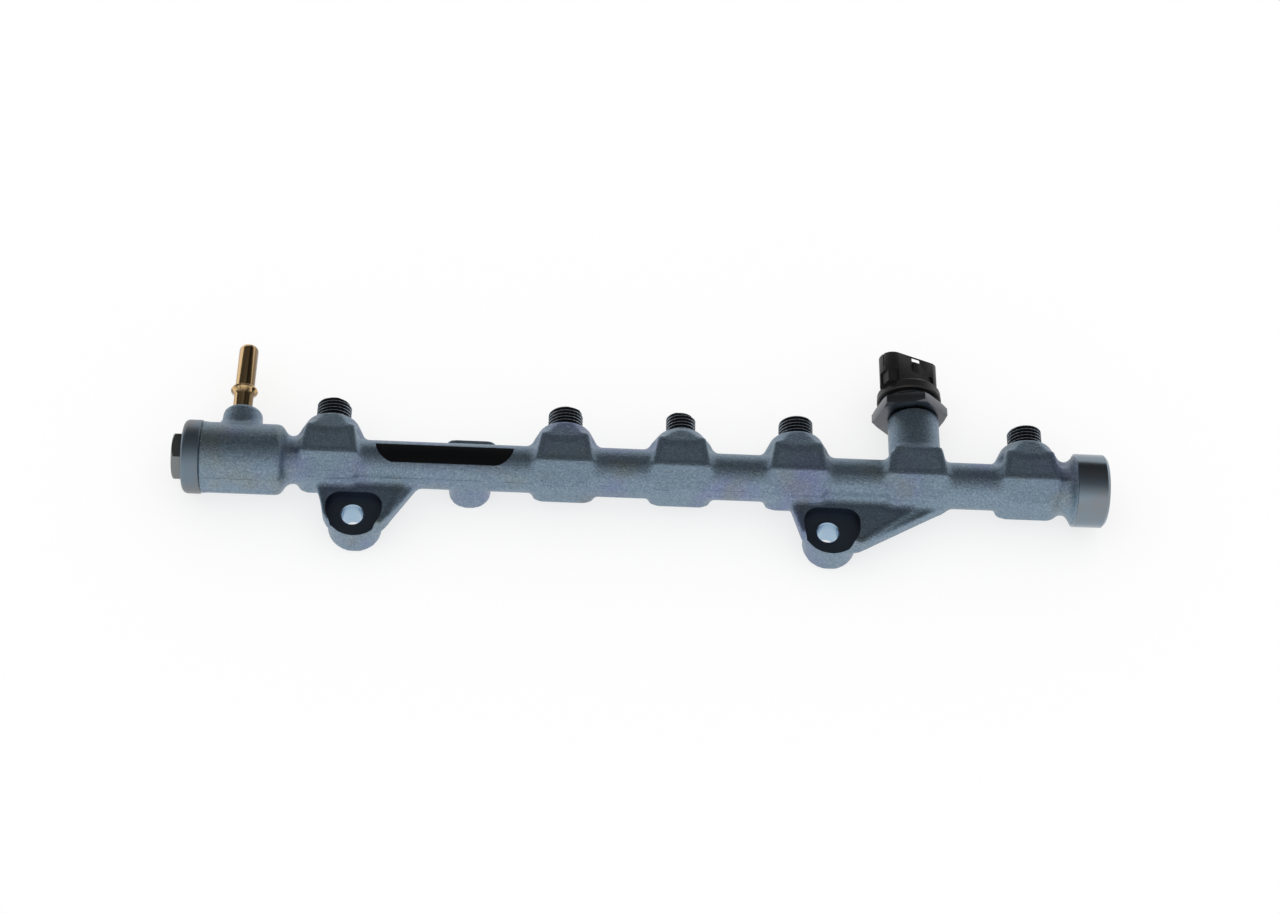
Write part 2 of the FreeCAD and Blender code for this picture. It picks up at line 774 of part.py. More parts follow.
def sensor_port():
    """Steel port: screwed shank with a sealing point, thin hexagon, neck and the rim inside the shell."""
    bottom = tower_top - tower_bore_depth
    point = bottom - tower_thread_radius + outlet_drill_radius
    shank_radius = tower_thread_radius - joint_clearance
    groove_low = shell_base + (sensor_rim_height - cap_seal_width) / 2
    groove_high = groove_low + cap_seal_width
    outline = [
        (sensor_port_radius, point + 3 * joint_clearance, 0),
        (outlet_drill_radius + joint_clearance, point + 3 * joint_clearance, 0),
        (shank_radius, bottom + joint_clearance, 0),
        (shank_radius, sensor_hex_base, 0),
        (sensor_neck_radius, sensor_hex_base, 0),
        (sensor_neck_radius, shell_base - joint_clearance, 0),
        (sensor_rim_radius, shell_base - joint_clearance, 0),
        (sensor_rim_radius, groove_low, 0),
        (sensor_rim_radius - cap_seal_depth, groove_low, 0),
        (sensor_rim_radius - cap_seal_depth, groove_high, 0),
        (sensor_rim_radius, groove_high, 0),
        (sensor_rim_radius, sensor_port_top, 0),
        (sensor_port_radius, sensor_port_top, 0),
    ]
    corner = sensor_hex_flats / 2 / math.cos(math.pi / 6)
    wire = hexagon(sensor_hex_flats, lambda a, b: on_axis(sensor_x + a, sensor_hex_base, b), sensor_hex_turn)
    head = Part.Face(wire).extrude(FreeCAD.Vector(0, sensor_hex_height, 0))
    limit = turned_along_y([
        (0, sensor_hex_base, 0),
        (corner - sensor_hex_chamfer, sensor_hex_base, 0),
        (corner, sensor_hex_base + sensor_hex_chamfer * chamfer_slope, 0),
        (corner, sensor_hex_top - sensor_hex_chamfer * chamfer_slope, 0),
        (corner - sensor_hex_chamfer, sensor_hex_top, 0),
        (0, sensor_hex_top, 0),
    ], sensor_x)
    head = head.common(limit).cut(rod_y(sensor_port_radius, sensor_hex_base, sensor_hex_top, sensor_x))
    return turned_along_y(outline, sensor_x).fuse(head).removeSplitter()


def sensing_cell():
    """Steel cup whose closed end is the measuring diaphragm."""
    cell_top = sensor_port_top + cell_height
    body = rod_y(cell_radius, sensor_port_top, cell_top, sensor_x)
    return body.cut(rod_y(cell_radius - cell_wall, sensor_port_top, cell_top - cell_wall, sensor_x))


def board_support():
    ring = rod_y(support_radius, sensor_port_top, board_base, sensor_x)
    return ring.cut(rod_y(cell_radius + 4 * joint_clearance, sensor_port_top, board_base, sensor_x))


def sensor_board():
    board = Part.makeBox(2 * board_half_width, board_thickness, 2 * board_half_depth,
                         on_axis(sensor_x - board_half_width, board_base, -board_half_depth))
    return turned_shell(board)


def contact_pin(offset, growth=0.0):
    """Flat blade from the board through the shell's floor into the socket."""
    width = pin_half_width + growth
    thickness = pin_half_thickness + growth
    start = board_base + board_thickness
    pin = Part.makeBox(2 * width, shell_floor_top + pin_height_in_socket - start, 2 * thickness,
                       on_axis(sensor_x + offset - width, start, -thickness))
    return turned_shell(pin)


def shell_outline(inset, round_by):
    """Keyed outline of the connector, as seen along its axis."""
    width = shell_half_width - inset
    depth = shell_half_depth - inset
    return [
        (sensor_x - width, -depth, round_by),
        (sensor_x + width, -depth, round_by),
        (sensor_x + width, depth, round_by),
        (sensor_x - width, depth, round_by),
    ]


def shell_prism(inset, round_by, y0, y1):
    wire = rounded_wire(shell_outline(inset, round_by), lambda p: on_axis(p.x, y0, p.y))
    return turned_shell(Part.Face(wire).extrude(FreeCAD.Vector(0, y1 - y0, 0)))


def latch_nose():
    """Ramp and locking face on the shell that the plug's spring catch snaps behind."""
    top = shell_top - latch_from_top
    low = top - latch_length
    start = sensor_x + latch_offset - latch_half_width
    nose = prism_along_x([
        (low, shell_half_depth - latch_root, 0),
        (low, shell_half_depth + latch_height, 0),
        (top, shell_half_depth + latch_lead, 0),
        (top, shell_half_depth - latch_root, 0),
    ], start, start + 2 * latch_half_width)
    return turned_shell(nose)


def connector_shell():
    """Moulded shell: round collar over the port, closed floor and the open socket for the plug."""
    collar_top = shell_base + shell_collar_height
    collar = turned_along_y([
        (0, shell_base, 0),
        (shell_collar_radius, shell_base, edge_break),
        (shell_collar_radius, collar_top, shell_edge_round),
        (0, collar_top, 0),
    ], sensor_x)
    body = shell_prism(0.0, shell_corner_round, collar_top - shell_overlap, shell_top)
    shell = collar.multiFuse([body, latch_nose()])
    inner_round = shell_corner_round - shell_socket_wall
    socket = shell_prism(shell_socket_wall, inner_round, shell_floor_top, shell_top)
    cavity = rod_y(shell_cavity_radius, shell_base, sensor_port_top + room_clearance, sensor_x)
    board_room = rod_y(support_radius + 2 * joint_clearance, sensor_port_top + room_clearance,
                       shell_floor_top - shell_floor_thickness, sensor_x)
    slots = [contact_pin(offset, joint_clearance) for offset in pin_offsets]
    return shell.cut([socket, cavity, board_room] + slots).removeSplitter()


def cap_seal():
    """Seal ring between the port's rim and the shell."""
    section = (shell_cavity_radius - sensor_rim_radius + cap_seal_depth - joint_clearance) / 2
    ring_radius = shell_cavity_radius - section - joint_clearance / 2
    middle_y = shell_base + sensor_rim_height / 2
    return turned_along_y([(ring_radius + a, middle_y + b, 0) for a, b in octagon(section)], sensor_x)


def save(name, shape):
    shape.exportStep("parts/" + name + ".step")
    print(name, len(shape.Solids), round(shape.Volume, 1), shape.isValid())


os.makedirs("parts", exist_ok=True)
save("rail_body", rail_body())
save("valve_body", valve_body())
save("valve_seat", valve_seat())
save("valve_plunger", valve_plunger())
save("valve_spring", valve_spring())
save("valve_shim", valve_shim())
save("valve_seal", valve_seal())
save("return_spigot", return_spigot())
save("end_plug", end_plug())
for number, x in enumerate(outlet_xs, start=1):
    save("outlet_throttle_" + str(number), throttle(x))
save("inlet_throttle", throttle(inlet_x))
save("sensor_port", sensor_port())
save("sensing_cell", sensing_cell())
save("board_support", board_support())
save("sensor_board", sensor_board())
save("connector_shell", connector_shell())
save("cap_seal", cap_seal())
for number, offset in enumerate(pin_offsets, start=1):
    save("contact_pin_" + str(number), contact_pin(offset))
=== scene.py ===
# %% Frame
import math

import bpy
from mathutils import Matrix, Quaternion, Vector


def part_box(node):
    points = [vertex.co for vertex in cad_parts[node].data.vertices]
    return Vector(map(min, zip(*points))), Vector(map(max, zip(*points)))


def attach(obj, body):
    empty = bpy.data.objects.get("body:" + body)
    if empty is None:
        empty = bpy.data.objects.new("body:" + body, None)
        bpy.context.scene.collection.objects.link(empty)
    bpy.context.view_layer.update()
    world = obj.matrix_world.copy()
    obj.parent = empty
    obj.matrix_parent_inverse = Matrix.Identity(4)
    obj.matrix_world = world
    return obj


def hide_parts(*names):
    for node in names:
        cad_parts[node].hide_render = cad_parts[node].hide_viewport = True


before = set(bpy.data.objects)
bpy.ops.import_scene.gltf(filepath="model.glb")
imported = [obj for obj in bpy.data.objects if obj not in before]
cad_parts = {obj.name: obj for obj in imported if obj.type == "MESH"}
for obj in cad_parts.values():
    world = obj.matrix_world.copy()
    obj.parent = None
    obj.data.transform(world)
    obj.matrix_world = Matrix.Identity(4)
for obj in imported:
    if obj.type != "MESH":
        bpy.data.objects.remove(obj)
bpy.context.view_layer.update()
MM = 0.001
print("CAD nodes:", len(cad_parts))

# %% [markdown]
# The solids of the part come in as nodes that may not be moved. Every piece made here stands on them, so its
# place is read from the nodes' boxes. The rail's own axis is read from the end plug, the connections from
# the throttles inside them, and the two lugs stand at equal distances from the origin.

# %% Places on the rail
def middle(node):
    low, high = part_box(node)
    return (low + high) / 2


body_low, body_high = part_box("rail_body")
axis_y = middle("end_plug").y
axis_z = middle("end_plug").z
outlet_xs = [middle(f"outlet_throttle_{i}").x for i in range(1, 5)]
inlet_x = middle("inlet_throttle").x
spigot_x = middle("return_spigot").x
tower_x = middle("sensing_cell").x
sensor_x = tower_x - 1.3 * MM
foot_x = outlet_xs[0] + 56.2 * MM
lug_xs = [-0.095, 0.095]


def at(x, out=0.0, up=0.0):
    """A point given by its place along the rail in metres and its offsets from the axis in millimetres."""
    return Vector((x, axis_y + out * MM, axis_z + up * MM))


print("outlets:", [round(x / MM, 1) for x in outlet_xs], "inlet:", round(inlet_x / MM, 1))

# %% [markdown]
# The photograph was taken from above and slightly from the left, with the camera rolled a little. The angles
# and the distance were fitted to the hole centres, the thread axes and the ends of the rail.

# %% Camera
camera_height = math.radians(56.65)
camera_side = math.radians(3.36)
camera_roll = math.radians(5.03)
camera_distance = 1.098
camera_target = Vector((0.0191, 0.0311, 0.0155))
focal_pixels = 2712
photo_width = 1280

look = Vector((math.sin(camera_side) * math.cos(camera_height),
               math.cos(camera_side) * math.cos(camera_height),
               -math.sin(camera_height)))
bpy.ops.object.camera_add(location=camera_target - look * camera_distance)
camera = bpy.context.object
camera.rotation_mode = "QUATERNION"
camera.rotation_quaternion = look.to_track_quat("-Z", "Y") @ Quaternion((0, 0, 1), camera_roll)
camera.data.sensor_width = 36
camera.data.lens = focal_pixels / photo_width * camera.data.sensor_width
camera.data.clip_start = 0.01
bpy.context.scene.camera = camera
bpy.context.scene.view_settings.view_transform = "Standard"
print("lens", round(camera.data.lens, 1), "mm")

# %% [markdown]
# Small helpers keep the steps below short. Operators act on everything that is selected, so each step starts
# with nothing selected, and every modifier is applied as soon as it is set.

# %% Helpers for selecting and applying
X = Vector((1, 0, 0))
Y = Vector((0, 1, 0))
Z = Vector((0, 0, 1))


def only(obj):
    """Makes obj the one selected and active object."""
    bpy.ops.object.select_all(action="DESELECT")
    obj.select_set(True)
    bpy.context.view_layer.objects.active = obj


def modified(obj, kind, **settings):
    """Adds a modifier with its settings and applies it."""
    only(obj)
    modifier = obj.modifiers.new(kind.lower(), kind)
    for key, value in settings.items():
        setattr(modifier, key, value)
    bpy.ops.object.modifier_apply(modifier=modifier.name)
    return obj


def cut(obj, tool, operation="DIFFERENCE"):
    """Boolean with a tool that is used up by it. New faces keep the tool's material."""
    modified(obj, "BOOLEAN", operation=operation, solver="EXACT", object=tool, material_mode="TRANSFER")
    bpy.data.objects.remove(tool)
    return obj


def joined(name, pieces):
    only(pieces[0])
    for piece in pieces:
        piece.select_set(True)
    bpy.ops.object.join()
    bpy.context.object.name = name
    return bpy.context.object


def placed(obj, location, turn=0.0):
    """Turns a piece about its own upright axis Y, moves it to its place and applies both."""
    only(obj)
    obj.rotation_euler = (0, turn, 0)
    obj.location = location
    bpy.ops.object.transform_apply(location=True, rotation=True, scale=True)
    return obj


def smooth(obj, angle=30):
    only(obj)
    bpy.ops.object.shade_smooth_by_angle(angle=math.radians(angle))
    return obj


def softened(obj, width, segments=3, angle=30):
    """Breaks the sharp edges of a machined or moulded piece."""
    modified(obj, "BEVEL", width=width * MM, segments=segments, limit_method="ANGLE",
             angle_limit=math.radians(angle))
    return smooth(obj)


def rounded(obj, radius, segments, wanted):
    """Rounds the edges whose two ends pass a test; radius in metres."""
    bpy.ops.object.mode_set(mode="EDIT")
    bpy.ops.mesh.select_mode(type="EDGE")
    bpy.ops.mesh.select_all(action="DESELECT")
    bpy.ops.object.mode_set(mode="OBJECT")
    for edge in obj.data.edges:
        edge.select = wanted(*(obj.data.vertices[i].co for i in edge.vertices))
    bpy.ops.object.mode_set(mode="EDIT")
    bpy.ops.mesh.bevel(offset=radius, segments=segments, affect="EDGES")
    bpy.ops.object.mode_set(mode="OBJECT")


# %% Helpers for drawn and turned pieces
def drawn_line(name, points):
    """Open line through points, left in edit mode for the step that makes a surface of it."""
    bpy.ops.object.select_all(action="DESELECT")
    bpy.ops.mesh.primitive_plane_add(size=MM, location=points[0])
    obj = bpy.context.object
    obj.name = name
    bpy.ops.object.transform_apply(location=True, rotation=True, scale=True)
    bpy.ops.object.mode_set(mode="EDIT")
    bpy.ops.mesh.select_mode(type="VERT")
    bpy.ops.mesh.select_all(action="SELECT")
    bpy.ops.mesh.merge(type="CENTER")
    for here, there in zip(points, points[1:]):
        bpy.ops.mesh.extrude_region_move(TRANSFORM_OT_translate={"value": there - here})
    return obj


def turned(name, outline, start, along, steps=96):
    """Turns an outline of (distance along the axis, radius) in millimetres about the axis."""
    side = X if along == Z else Z
    obj = drawn_line(name, [start + (along * a + side * r) * MM for a, r in outline])
    bpy.ops.mesh.select_all(action="SELECT")
    bpy.ops.mesh.spin(steps=steps, angle=2 * math.pi, center=start, axis=along)
    bpy.ops.mesh.select_all(action="SELECT")
    bpy.ops.mesh.remove_doubles(threshold=0.001 * MM)
    bpy.ops.mesh.normals_make_consistent(inside=False)
    bpy.ops.object.mode_set(mode="OBJECT")
    return obj


def drum(name, start, along, length, radius, steps=64):
    """Plain drum with closed ends, used as filler or as a cutting tool."""
    outline = [(0, 0), (0, radius), (length, radius), (length, 0)]
    return turned(name, outline, start, along, steps)


# %% Helpers for shader nodes
def srgb(code):
    """Linear colour of a hex code such as 8090a0."""
    channels = [int(code[i:i + 2], 16) / 255 for i in (0, 2, 4)]
    linear = [c / 12.92 if c <= 0.04045 else ((c + 0.055) / 1.055) ** 2.4 for c in channels]
    return (*linear, 1)


def add(tree, kind, settings=None, **links):
    """Adds a node. Settings are its properties or inputs, and links feed other sockets into its inputs."""
    node = tree.nodes.new(kind)
    for key, value in (settings or {}).items():
        if hasattr(node, key):
            setattr(node, key, value)
        else:
            node.inputs[key].default_value = value
    for key, socket in links.items():
        tree.links.new(socket, node.inputs[key.replace("_", " ")])
    return node


def calculated(tree, operation, *values):
    """Math node whose inputs are sockets or plain numbers."""
    node = add(tree, "ShaderNodeMath", {"operation": operation})
    for value, socket in zip(values, node.inputs):
        if isinstance(value, float):
            socket.default_value = value
        else:
            tree.links.new(value, socket)
    return node.outputs[0]


def new_material(name, colour, metallic, roughness):
    """Principled material with its constants on the shader's own sockets."""
    material = bpy.data.materials.new(name)
    material.use_nodes = True
    shader = material.node_tree.nodes["Principled BSDF"]
    shader.inputs["Base Color"].default_value = srgb(colour)
    shader.inputs["Metallic"].default_value = metallic
    shader.inputs["Roughness"].default_value = roughness
    material.diffuse_color = srgb(colour)
    return material, material.node_tree, shader


def noise(tree, place, scale, detail=2.0, low=0.0, high=1.0, top=1.0):
    """Noise whose range low to high is stretched to 0 to top."""
    source = add(tree, "ShaderNodeTexNoise", {"Scale": scale, "Detail": detail}, Vector=place)
    limits = {"From Min": low, "From Max": high, "To Max": top}
    return add(tree, "ShaderNodeMapRange", limits, Value=source.outputs["Fac"]).outputs["Result"]


def tinted(tree, base, tint, amount):
    """Colour base with a tint laid over it where amount is high."""
    mix = tree.nodes.new("ShaderNodeMix")
    mix.data_type = "RGBA"
    tree.links.new(amount, mix.inputs[0])
    for socket, value in ((mix.inputs[6], base), (mix.inputs[7], tint)):
        if isinstance(value, str):
            socket.default_value = srgb(value)
        else:
            tree.links.new(value, socket)
    return mix.outputs[2]


def bumped(tree, shader, height, depth, strength=1.0):
    """Fine relief of the given depth in metres on the shader's normal."""
    bump = add(tree, "ShaderNodeBump", {"Distance": depth, "Strength": strength}, Height=height)
    tree.links.new(bump.outputs["Normal"], shader.inputs["Normal"])


# %% [markdown]
# The forging was blasted with grit, zinc plated and passivated blue. Its finish mixes a fine grain that catches
# the light, dark speckles, worn light spots, and large patches of passivation that turn violet or olive. A thin
# dark line shows where the two dies met; it wanders a little and ends before the right lug. All of it reads
# Object coordinates, so nothing slides when the view changes.

# %% Finish of the forging
def part_of(tree, value, low, high, top=1.0):
    """Share that rises smoothly from 0 at low to top at high; low may be above high."""
    limits = {"From Min": low, "From Max": high, "To Max": top, "interpolation_type": "SMOOTHSTEP"}
    return add(tree, "ShaderNodeMapRange", limits, Value=value).outputs["Result"]


forged, tree, shader = new_material("blue_passivated_forging", "8397a8", 1.0, 0.46)
place = add(tree, "ShaderNodeTexCoord").outputs["Object"]
violet_part = noise(tree, place, 40.0, 3.0, 0.50, 0.74, 0.6)
olive_part = noise(tree, place, 61.0, 2.0, 0.53, 0.74, 0.4)
speckle_part = noise(tree, place, 1500.0, 4.0, 0.42, 0.66, 0.5)
worn_part = noise(tree, place, 1000.0, 4.0, 0.50, 0.74, 0.45)

line_tilt = 0.4
line_drop = 0.25 * MM
line_half_width = 0.22 * MM
die_plane = add(tree, "ShaderNodeVectorMath", {"operation": "DOT_PRODUCT"}, Vector=place)
die_plane.inputs[1].default_value = (0.0, line_tilt, 1.0)
offset = calculated(tree, "ADD", die_plane.outputs["Value"], -(axis_z + line_tilt * axis_y) - line_drop)
wander = noise(tree, place, 60.0, 2.0, 0.3, 0.7, 0.5 * MM)
away = calculated(tree, "ABSOLUTE", calculated(tree, "ADD", offset, wander))
gaps = noise(tree, place, 120.0, 2.0, 0.40, 0.54, 0.5)
along_rail = add(tree, "ShaderNodeSeparateXYZ", Vector=place).outputs["X"]
before_lug = part_of(tree, along_rail, lug_xs[1] - 13 * MM, lug_xs[1] - 19 * MM)
line_part = calculated(tree, "MULTIPLY", part_of(tree, away, line_half_width, 0.06 * MM), gaps)
line_part = calculated(tree, "MULTIPLY", line_part, before_lug)
toned = tinted(tree, tinted(tree, "8397a8", "7b7cb0", violet_part), "8d8f78", olive_part)
toned = tinted(tree, tinted(tree, toned, "505c68", speckle_part), "aab9c4", worn_part)
tree.links.new(tinted(tree, toned, "1c222a", line_part), shader.inputs["Base Color"])
bumped(tree, shader, noise(tree, place, 1400.0, 4.0, 0.3, 0.7), 0.10 * MM)
print(forged.name)


# %% [markdown]
# Turned and milled faces were cut after forging and plated with it, so they are smoother and show the marks of
# the tool: rings round the axis on turned faces, and a fine even satin on milled ones.

# %% Finishes of machined steel
def machined(name, colour, roughness, stain, stain_amount, ring_axis=None):
    material, tree, shader = new_material(name, colour, 1.0, roughness)
    place = add(tree, "ShaderNodeTexCoord").outputs["Object"]
    stains = noise(tree, place, 70.0, 4.0, 0.45, 0.75, stain_amount)
    tree.links.new(tinted(tree, colour, stain, stains), shader.inputs["Base Color"])
    if ring_axis is None:
        bumped(tree, shader, noise(tree, place, 2600.0, 2.0, 0.3, 0.7), 0.012 * MM)
    else:
        stretch = [2.0, 2.0, 2.0]
        stretch["XYZ".index(ring_axis)] = 3800.0
        along = add(tree, "ShaderNodeMapping", {"Scale": stretch}, Vector=place).outputs["Vector"]
        bumped(tree, shader, noise(tree, along, 1.0, 2.0, 0.3, 0.7), 0.012 * MM)
    return material


turned_steel = machined("turned_passivated_steel", "7b8a96", 0.22, "8a7f78", 0.6, "X")
collar_steel = machined("fine_turned_steel", "73828e", 0.42, "86786c", 0.6, "X")
milled_steel = machined("milled_passivated_steel", "56606e", 0.34, "424a5c", 0.8)
bore_steel = machined("bright_bored_steel", "9db6ca", 0.25, "8f9fd0", 0.5)
# Two copies of the thread's steel: the dark one is painted shade on the flanks, roots, ends and seat, and the light one
# is painted highlight on the crests.
thread_painted_shade_steel = machined("rolled_thread_painted_shade", "444c55", 0.35, "3a414b", 0.5)
crest_painted_highlight_steel = machined("thread_crest_painted_highlight", "e2e9ee", 0.5, "b4bec8", 0.5)
sensor_steel = machined("dark_turned_steel", "62656a", 0.28, "5c5c5a", 0.5)
valve_steel = machined("satin_plated_steel", "7c7f80", 0.33, "6b655f", 0.6)
hardened_steel = machined("ground_hardened_steel", "9a9a9c", 0.25, "8a8a8a", 0.3)
spring_wire = machined("drawn_spring_wire", "70706c", 0.35, "5d5a55", 0.4)
# The label flat's near-black colour is a painted dark reflection of the ceiling that the flat mirrors.
label_painted_dark_reflection = machined("milled_steel_painted_dark_reflection", "2b2c2e", 0.38, "242526", 0.5)
print("machined finishes ready")

# %% [markdown]
# The return spigot is a drawn tube with a glossy yellow passivation, smooth enough to show narrow upright
# reflections. The plug of the sensor is moulded from glass-filled plastic, a fine even matt black.

# %% Finishes of the spigot, the plastics and the rubber
def plain(name, colour, metallic, roughness, grain_scale=1800.0, grain_depth=0.01):
    material, tree, shader = new_material(name, colour, metallic, roughness)
    place = add(tree, "ShaderNodeTexCoord").outputs["Object"]
    bumped(tree, shader, noise(tree, place, grain_scale, 2.0, 0.3, 0.7), grain_depth * MM)
    return material


gold_plate = plain("yellow_passivated_tube", "d2a66a", 1.0, 0.16, 260.0, 0.006)
tree = gold_plate.node_tree
place = add(tree, "ShaderNodeTexCoord").outputs["Object"]
# Dark and light streaks along the tube's axis are painted reflections of the room, laid into the tube's colour.
streak_space = add(tree, "ShaderNodeMapping", {"Scale": (700.0, 8.0, 700.0)}, Vector=place).outputs["Vector"]
painted_reflection_streaks = noise(tree, streak_space, 1.0, 2.0, 0.42, 0.6, 0.85)
tree.links.new(tinted(tree, "d9b888", "574833", painted_reflection_streaks), tree.nodes["Principled BSDF"].inputs["Base Color"])
black_plastic = plain("black_glass_filled_plastic", "101011", 0.0, 0.45, 2600.0, 0.012)
black_rubber = plain("black_moulded_rubber", "1a1a1a", 0.0, 0.7)
green_board = plain("green_solder_mask", "1d5a34", 0.0, 0.35)
natural_plastic = plain("natural_moulded_plastic", "c9c2ae", 0.0, 0.5)
tinned_brass = plain("tinned_brass", "bdbbb4", 1.0, 0.3)
print("plastic and plated finishes ready")

# %% [markdown]
# Inner pieces keep the shape of the solids and get the finish that the real ones have.

# %% Finishes on the inner pieces
inner_finish = {
    "valve_seat": hardened_steel, "valve_plunger": hardened_steel, "valve_shim": hardened_steel,
    "valve_spring": spring_wire, "valve_seal": black_rubber, "cap_seal": black_rubber,
    "end_plug": valve_steel, "sensing_cell": hardened_steel, "board_support": natural_plastic,
    "sensor_board": green_board, "inlet_throttle": hardened_steel, "valve_body": valve_steel,
    "return_spigot": gold_plate, "sensor_port": sensor_steel, "connector_shell": black_plastic,
    "rail_body": forged,
}
for number in range(1, 5):
    inner_finish[f"outlet_throttle_{number}"] = hardened_steel
for number in range(1, 4):
    inner_finish[f"contact_pin_{number}"] = tinned_brass
for name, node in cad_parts.items():
    node.data.materials.clear()
    node.data.materials.append(inner_finish[name])
print("finishes given to", len(inner_finish), "nodes")


def dressed(obj, finish, slot_name, *nodes):
    """Gives a piece its finish if it has none yet and lets it stand for CAD nodes on the rail."""
    if not any(obj.data.materials):
        obj.data.materials.clear()
        obj.data.materials.append(finish)
        for face in obj.data.polygons:
            face.material_index = 0
    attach(obj, "rail")
    if nodes:
        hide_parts(*nodes)
    print(obj.name, len(obj.data.polygons), "faces")
    return obj


# %% [markdown]
# The forging is one piece: tube, blocks, domes, webs and feet flow into each other with soft corners. Adding
# a radius to every corner one by one would be long and would fail where many meet. The solid body is copied
# instead, its machined places are filled up again, and the whole is rebuilt on a fine grid. Growing the
# surface and shrinking it by the same amount then leaves a fillet in every inner corner, as a die does. The
# domes are trimmed flat on top before that, where they would stand above their blocks.

# %% Copy of the body, without its machined ends
collar_start_x = body_low.x - 0.8 * MM
collar_length = 7.2
collar_end_x = collar_start_x + collar_length * MM
flange_start_x = body_high.x - 13.0 * MM
flare_length = 4.6
ledge_out = 17.3
tower_out = 30.9
spigot_boss_out = 22.6
tube_radius = 9.4
housing_radius = 14.2

only(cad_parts["rail_body"])
bpy.ops.object.duplicate()
forging = bpy.context.object
forging.name = "forging"
forging.parent = None
for key in list(forging.keys()):
    del forging[key]
bpy.ops.object.mode_set(mode="EDIT")
bpy.ops.mesh.select_all(action="SELECT")
bpy.ops.mesh.remove_doubles(threshold=0.001 * MM)
bpy.ops.object.mode_set(mode="OBJECT")


def sliced(obj, point, normal, inside=None):
    """Cuts off what lies beyond a plane and closes the cut; inside limits it to some faces."""
    only(obj)
    for face in obj.data.polygons:
        face.select = inside is None or inside(face.center)
    bpy.ops.object.mode_set(mode="EDIT")
    bpy.ops.mesh.select_mode(type="FACE")
    bpy.ops.mesh.bisect(plane_co=point, plane_no=normal, clear_outer=True, use_fill=True)
    bpy.ops.object.mode_set(mode="OBJECT")
    return obj


sliced(forging, at(collar_end_x + 0.2 * MM), -X)
sliced(forging, at(flange_start_x - flare_length * MM), X)
print("body copied:", len(forging.data.polygons), "faces")

# %% Shapes for filling and milling
def rounded_slab(name, low, high, bottom, top, corners):
    """Box between two corners in plan whose upright edges at chosen places are rounded."""
    centre = ((low[0] + high[0]) / 2, (low[1] + high[1]) / 2, (bottom + top) / 2)
    size = (high[0] - low[0], high[1] - low[1], top - bottom)
    bpy.ops.object.select_all(action="DESELECT")
    bpy.ops.mesh.primitive_cube_add(size=1, location=centre, scale=size)
    obj = bpy.context.object
    obj.name = name
    bpy.ops.object.transform_apply(location=True, rotation=True, scale=True)
    for radius, wanted in corners:
        rounded(obj, radius, 12, lambda a, b: abs(a.z - b.z) > 0.9 * (top - bottom) and wanted((a + b) / 2))
    return obj


def prism(name, outline, along):
    """Closed outline of points pushed along a vector, with both ends filled."""
    obj = drawn_line(name, outline)
    bpy.ops.mesh.select_all(action="SELECT")
    bpy.ops.mesh.edge_face_add()
    bpy.ops.mesh.extrude_region_move(TRANSFORM_OT_translate={"value": along})
    bpy.ops.mesh.select_all(action="SELECT")
    bpy.ops.mesh.normals_make_consistent(inside=False)
    bpy.ops.object.mode_set(mode="OBJECT")
    return obj


def web(x, plan, up):
    """Flat web with a small hollow curve to the tube, trimmed to its outline in plan."""
    curve = [(-8.2, 4.0), (-8.9, up + 1.4), (-9.7, up + 0.4), (-10.7, up), (-34.0, up), (-34.0, -6.0), (-7.5, -6.0)]
    bar = prism("filler", [at(x - 20 * MM, out, z) for out, z in curve], X * 80 * MM)
    outline = prism("outline", [at(x + across * MM, out, -12.0) for across, out in plan], Z * 24 * MM)
    return cut(bar, outline, "INTERSECT")


only(forging)
bpy.ops.object.duplicate()
nose = bpy.context.object
sliced(nose, at(tower_x - 12.8 * MM), -X)
sliced(nose, at(tower_x - 2.0 * MM), X)
sliced(nose, at(tower_x, 8.0), Y)
placed(nose, Vector((-1.3 * MM, 0, 0)))
print("nose of the sensor's block:", len(nose.data.polygons), "faces")

# %% Bores, studs and milled places filled up
hole_out = -21.5
boss_radius = 10.75
boss_shifts = [0.5, 1.5]
web_top = 1.2
web_plans = [
    [(-16.2, -2.0), (24.2, -2.0), (14.3, -25.5), (11.2, -29.3), (5.0, -26.0), (-5.0, -26.0), (-9.6, -28.0),
     (-11.6, -24.5)],
    [(-16.2, -2.0), (50.0, -2.0), (12.8, -29.8), (5.0, -26.0), (-5.0, -26.0), (-10.4, -25.0)],
]
flare_outline = [
    (-flare_length - 1, 0), (-flare_length - 1, 9.4), (-flare_length, 9.5), (-3.3, 9.8), (-2.2, 10.7), (-1.3, 12.2),
    (-0.5, 13.6), (0.1, 14.4), (2.2, 14.4), (2.2, 0),
]
connection_xs = outlet_xs + [inlet_x]
body_length = (body_high.x - body_low.x) / MM
fillers = [drum("filler", at(body_low.x + 1.0 * MM), X, body_length - 2.0, tube_radius - 0.05)]
fillers.append(drum("filler", at(collar_end_x - 2.0 * MM), X, 33.5, 9.7))
for x in connection_xs:
    fillers.append(drum("filler", at(x), Y, ledge_out, 6.8))
fillers.append(drum("filler", at(tower_x), Y, tower_out, 8.0))
fillers.append(drum("filler", at(spigot_x + 0.7 * MM), Y, spigot_boss_out, 8.2))
fillers.append(turned("flare", flare_outline, at(flange_start_x), X, 96))
for x, shift in zip(lug_xs, boss_shifts):
    boss_foot = at(x + shift * MM, hole_out, -axis_z / MM)
    fillers.append(drum("filler", boss_foot, Z, axis_z / MM, boss_radius))
for x, plan in zip(lug_xs, web_plans):
    fillers.append(web(x, plan, web_top))
